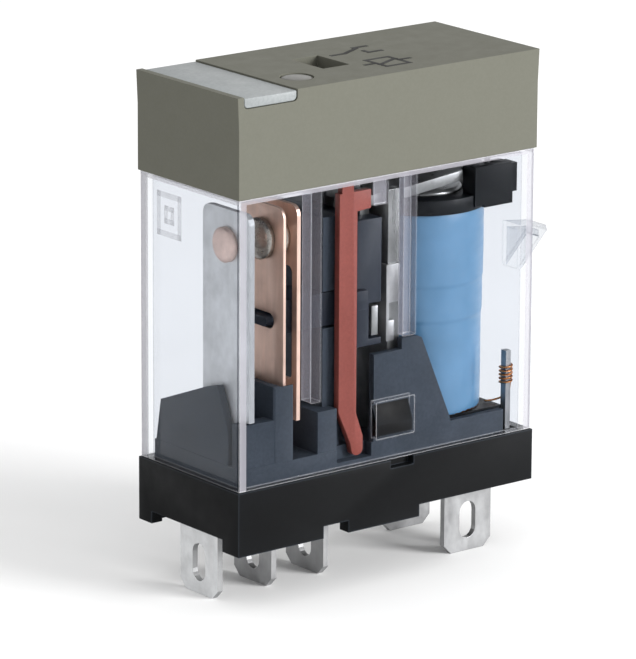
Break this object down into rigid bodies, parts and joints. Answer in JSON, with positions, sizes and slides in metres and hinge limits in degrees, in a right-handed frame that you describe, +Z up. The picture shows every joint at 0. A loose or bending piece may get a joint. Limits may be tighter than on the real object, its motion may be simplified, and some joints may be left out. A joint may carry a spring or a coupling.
{
  "type": "plug-in control relay",
  "caption": "Slim plug-in relay in a clear cover: blade terminals, coil and hinged armature, changeover contact, red flag lever under a windowed cap, snap-in tag.",
  "frame": {"origin": "centre of the seating plane, the flat bottoms of the moulded feet under the skirt", "axes": "+Z up from the socket towards the cap; X along the length, contact end at -X and coil end at +X; Y across the width, flag lever side at -Y"},
  "size_m": [0.0314, 0.0126, 0.0399],
  "materials": {
    "black_plastic": "moulded satin",
    "card_plastic": "moulded satin",
    "clear_plastic": "clear moulded plastic",
    "olive_plastic": "fine texture",
    "white_tag": "smooth",
    "red_plastic": "moulded satin",
    "tinned_sheet": "tinned, lightly brushed",
    "plated_steel": "plated",
    "spring_copper": "rolled copper alloy",
    "enamelled_wire": "enamelled",
    "contact_silver": "polished",
    "blue_tape": "satin film",
    "lens": "frosted",
    "led_resin": "clear resin",
    "board": "lacquered board",
    "resistor_coat": "lacquer"
  },
  "bodies": {
    "housing": {"base": "black_plastic", "cover": "clear_plastic", "cap": "olive_plastic", "led_lens": "lens", "led": "led_resin", "led_board": "board", "led_resistor": "resistor_coat", "led_lead_near": "tinned_sheet", "led_lead_far": "tinned_sheet", "no_terminal": "tinned_sheet", "com_terminal": "tinned_sheet", "nc_terminal": "spring_copper", "coil_terminal_near": "tinned_sheet", "coil_terminal_far": "tinned_sheet", "no_contact": "spring_copper", "nc_contact": "contact_silver", "spring_rivet_1": "spring_copper", "spring_rivet_2": "spring_copper", "core": "plated_steel", "yoke": "plated_steel", "hinge_spring": "tinned_sheet", "bobbin": "card_plastic", "coil_winding": "enamelled_wire", "coil_tape": "blue_tape", "coil_lead_near": "enamelled_wire", "coil_lead_far": "enamelled_wire"},
    "armature_body": {"armature": "plated_steel"},
    "card_body": {"card": "card_plastic"},
    "contact_leaf": {"moving_spring": "spring_copper", "moving_contact": "contact_silver"},
    "flag": {"indicator_lever": "red_plastic"},
    "tag": {"nameplate": "white_tag"}
  },
  "joints": [
    {"name": "armature_pivot", "type": "hinge", "parent": "housing", "child": "armature_body", "pos_m": [0.0012, 0, 0.0246], "axis": [0, 1, 0], "range_deg": [0, 5.2], "stiffness_Nm_per_rad": 0.002, "springref_deg": -8.59},
    {"name": "card_slide", "type": "slide", "parent": "housing", "child": "card_body", "axis": [-1, 0, 0], "range_m": [0, 0.00069]},
    {"name": "contact_flex", "type": "hinge", "parent": "housing", "child": "contact_leaf", "pos_m": [-0.00928, 0, 0.0086], "axis": [0, -1, 0], "range_deg": [0, 4.75]},
    {"name": "indicator_pivot", "type": "hinge", "parent": "housing", "child": "flag", "pos_m": [-0.0023, 0, 0.0062], "axis": [0, -1, 0], "range_deg": [0, 3.45]},
    {"name": "nameplate_lift", "type": "slide", "parent": "housing", "child": "tag", "axis": [0, 0, 1], "range_m": [0, 0.006]}
  ],
  "couplings": [
    {"joint": "card_slide", "follows": "armature_pivot", "m_per_rad": 0.0076},
    {"joint": "contact_flex", "follows": "armature_pivot", "ratio": 0.9},
    {"joint": "indicator_pivot", "follows": "armature_pivot", "ratio": 0.658}
  ]
}
